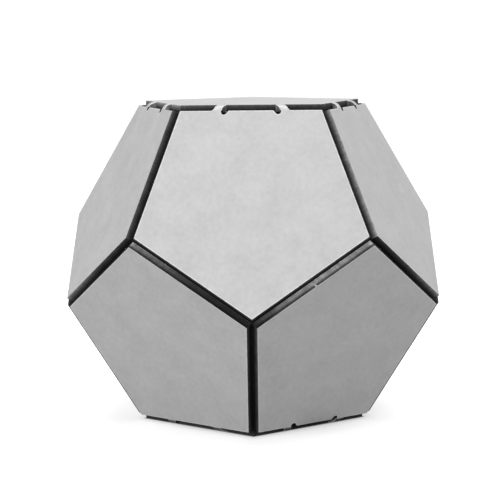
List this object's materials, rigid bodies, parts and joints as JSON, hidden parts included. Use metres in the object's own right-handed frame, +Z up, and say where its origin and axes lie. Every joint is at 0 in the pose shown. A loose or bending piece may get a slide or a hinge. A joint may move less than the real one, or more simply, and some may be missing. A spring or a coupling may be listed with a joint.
{
  "type": "fold-up dodecahedron puzzle",
  "caption": "Fold-up dodecahedron puzzle: pentagonal sheet-metal plates joined along slotted fold lines by slanted bending straps, closed into a hollow solid that stands on a flat face.",
  "frame": {"origin": "centre of the bottom plate's underside, on the surface that the puzzle stands on", "axes": "+Z up, out of the top plate; -Y to the front, which the front upper petal faces; +X to the right seen from the front"},
  "size_m": [0.1056, 0.111, 0.0911],
  "materials": {
    "sheet": "matte mill-finish sheet with faint mottling, bright arrises and darker laser-cut edges",
    "strap": "the same sheet, bent and twisted, with darker cut sides"
  },
  "bodies": {
    "bottom_plate": {"bottom_plate": "sheet", "strap_base_rear_1": "strap", "strap_base_rear_2": "strap", "strap_base_right_1": "strap", "strap_base_right_2": "strap", "strap_base_front_right_1": "strap", "strap_base_front_right_2": "strap", "strap_base_front_left_1": "strap", "strap_base_front_left_2": "strap", "strap_base_left_1": "strap", "strap_base_left_2": "strap"},
    "lower_petal_rear": {"lower_petal_rear": "sheet", "strap_link_1": "strap", "strap_link_2": "strap"},
    "lower_petal_right": {"lower_petal_right": "sheet"},
    "lower_petal_front_right": {"lower_petal_front_right": "sheet"},
    "lower_petal_front_left": {"lower_petal_front_left": "sheet"},
    "lower_petal_left": {"lower_petal_left": "sheet"},
    "upper_petal_rear_left": {"upper_petal_rear_left": "sheet", "strap_top_rear_left_1": "strap", "strap_top_rear_left_2": "strap"},
    "top_plate": {"top_plate": "sheet", "strap_top_left_1": "strap", "strap_top_left_2": "strap", "strap_top_front_1": "strap", "strap_top_front_2": "strap", "strap_top_right_1": "strap", "strap_top_right_2": "strap", "strap_top_rear_right_1": "strap", "strap_top_rear_right_2": "strap"},
    "upper_petal_left": {"upper_petal_left": "sheet"},
    "upper_petal_front": {"upper_petal_front": "sheet"},
    "upper_petal_right": {"upper_petal_right": "sheet"},
    "upper_petal_rear_right": {"upper_petal_rear_right": "sheet"}
  },
  "joints": [
    {"name": "fold_base_rear", "type": "hinge", "parent": "bottom_plate", "child": "lower_petal_rear", "pos_m": [0, 0.02753, 0.001], "axis": [-1, 0, 0], "range_deg": [0, 63.43], "deforming": ["strap_base_rear_1", "strap_base_rear_2"]},
    {"name": "fold_base_right", "type": "hinge", "parent": "bottom_plate", "child": "lower_petal_right", "pos_m": [0.02618, 0.00851, 0.001], "axis": [-0.309, 0.9511, 0], "range_deg": [0, 63.43], "deforming": ["strap_base_right_1", "strap_base_right_2"]},
    {"name": "fold_base_front_right", "type": "hinge", "parent": "bottom_plate", "child": "lower_petal_front_right", "pos_m": [0.01618, -0.02227, 0.001], "axis": [0.809, 0.5878, 0], "range_deg": [0, 63.43], "deforming": ["strap_base_front_right_1", "strap_base_front_right_2"]},
    {"name": "fold_base_front_left", "type": "hinge", "parent": "bottom_plate", "child": "lower_petal_front_left", "pos_m": [-0.01618, -0.02227, 0.001], "axis": [0.809, -0.5878, 0], "range_deg": [0, 63.43], "deforming": ["strap_base_front_left_1", "strap_base_front_left_2"]},
    {"name": "fold_base_left", "type": "hinge", "parent": "bottom_plate", "child": "lower_petal_left", "pos_m": [-0.02618, 0.00851, 0.001], "axis": [-0.309, -0.9511, 0], "range_deg": [0, 63.43], "deforming": ["strap_base_left_1", "strap_base_left_2"]},
    {"name": "fold_link", "type": "hinge", "parent": "lower_petal_rear", "child": "upper_petal_rear_left", "pos_m": [-0.01618, 0.0498, 0.04554], "axis": [-0.809, -0.2629, -0.5257], "range_deg": [0, 63.43], "deforming": ["strap_link_1", "strap_link_2"]},
    {"name": "fold_top_rear_left", "type": "hinge", "parent": "upper_petal_rear_left", "child": "top_plate", "pos_m": [-0.01618, 0.02227, 0.09008], "axis": [-0.809, -0.5878, 0], "range_deg": [0, 63.43], "deforming": ["strap_top_rear_left_1", "strap_top_rear_left_2"]},
    {"name": "fold_top_left", "type": "hinge", "parent": "top_plate", "child": "upper_petal_left", "pos_m": [-0.02618, -0.00851, 0.09008], "axis": [-0.309, 0.9511, 0], "range_deg": [0, 63.43], "deforming": ["strap_top_left_1", "strap_top_left_2"]},
    {"name": "fold_top_front", "type": "hinge", "parent": "top_plate", "child": "upper_petal_front", "pos_m": [0, -0.02753, 0.09008], "axis": [-1, 0, 0], "range_deg": [0, 63.43], "deforming": ["strap_top_front_1", "strap_top_front_2"]},
    {"name": "fold_top_right", "type": "hinge", "parent": "top_plate", "child": "upper_petal_right", "pos_m": [0.02618, -0.00851, 0.09008], "axis": [-0.309, -0.9511, 0], "range_deg": [0, 63.43], "deforming": ["strap_top_right_1", "strap_top_right_2"]},
    {"name": "fold_top_rear_right", "type": "hinge", "parent": "top_plate", "child": "upper_petal_rear_right", "pos_m": [0.01618, 0.02227, 0.09008], "axis": [0.809, -0.5878, 0], "range_deg": [0, 63.43], "deforming": ["strap_top_rear_right_1", "strap_top_rear_right_2"]}
  ],
  "couplings": [
    {"joint": "fold_base_rear", "follows": "fold_link", "ratio": 1},
    {"joint": "fold_top_rear_left", "follows": "fold_link", "ratio": 1}
  ]
}
